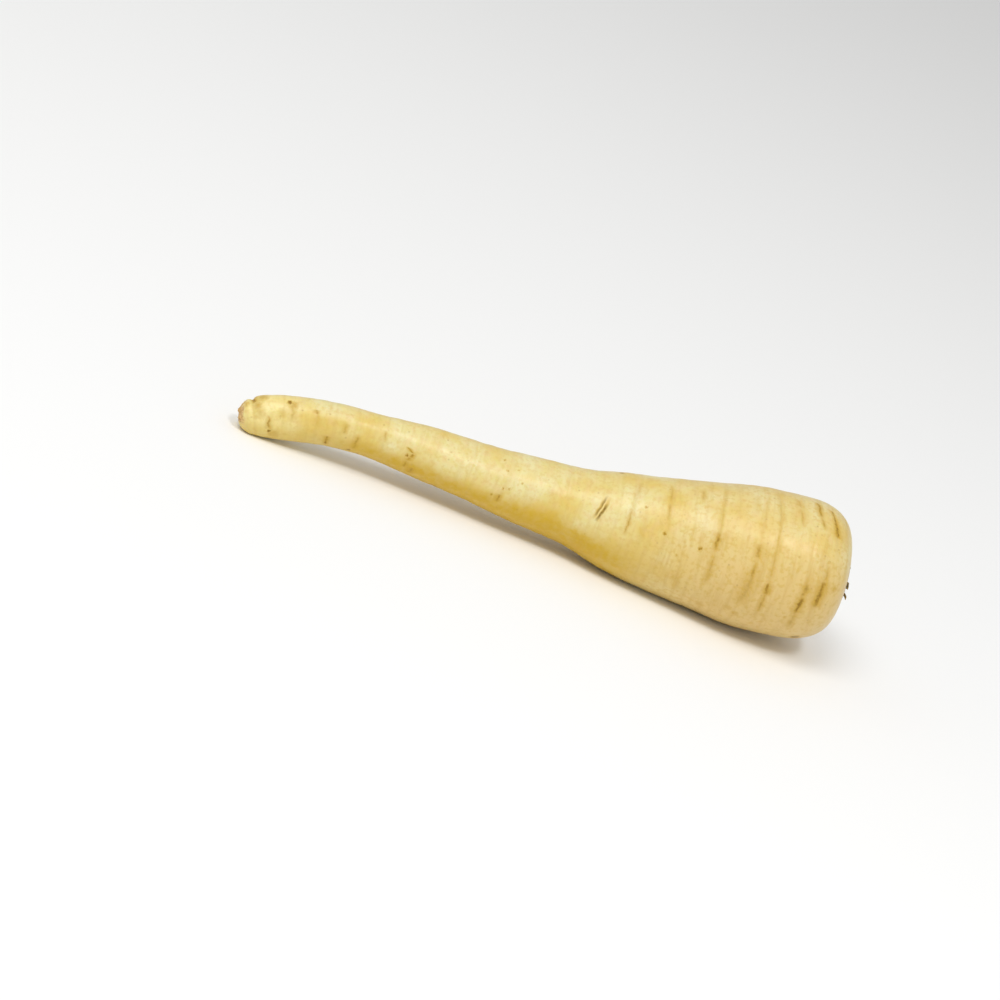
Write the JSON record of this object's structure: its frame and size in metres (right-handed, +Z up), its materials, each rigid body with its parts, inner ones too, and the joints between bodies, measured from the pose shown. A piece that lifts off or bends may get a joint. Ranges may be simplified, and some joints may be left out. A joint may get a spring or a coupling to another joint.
{
  "type": "parsnip",
  "caption": "Cream root vegetable with a long bent tapering tail, growth rings and scars, lying on its belly, with dry leaf bases and cut green stalks in its crown.",
  "frame": {"origin": "bottom centre of the bounding box, on the surface that the root lies on", "axes": "+X from the tail towards the crown, +Y away from the side that shows in a front view, +Z up"},
  "size_m": [0.2366, 0.056, 0.0566],
  "materials": {
    "root_skin": "washed root skin, pale cream yellow, softly glossy, with brown scars across it",
    "dry_leaf_bases": "dry and fibrous brown plant tissue, matt",
    "green_stalk": "cut leaf stalk, pale yellow green, moist"
  },
  "bodies": {
    "root": {"taproot": "root_skin", "dry_leaf_bases": "dry_leaf_bases", "green_leaf_stalks": "green_stalk"}
  },
  "joints": []
}
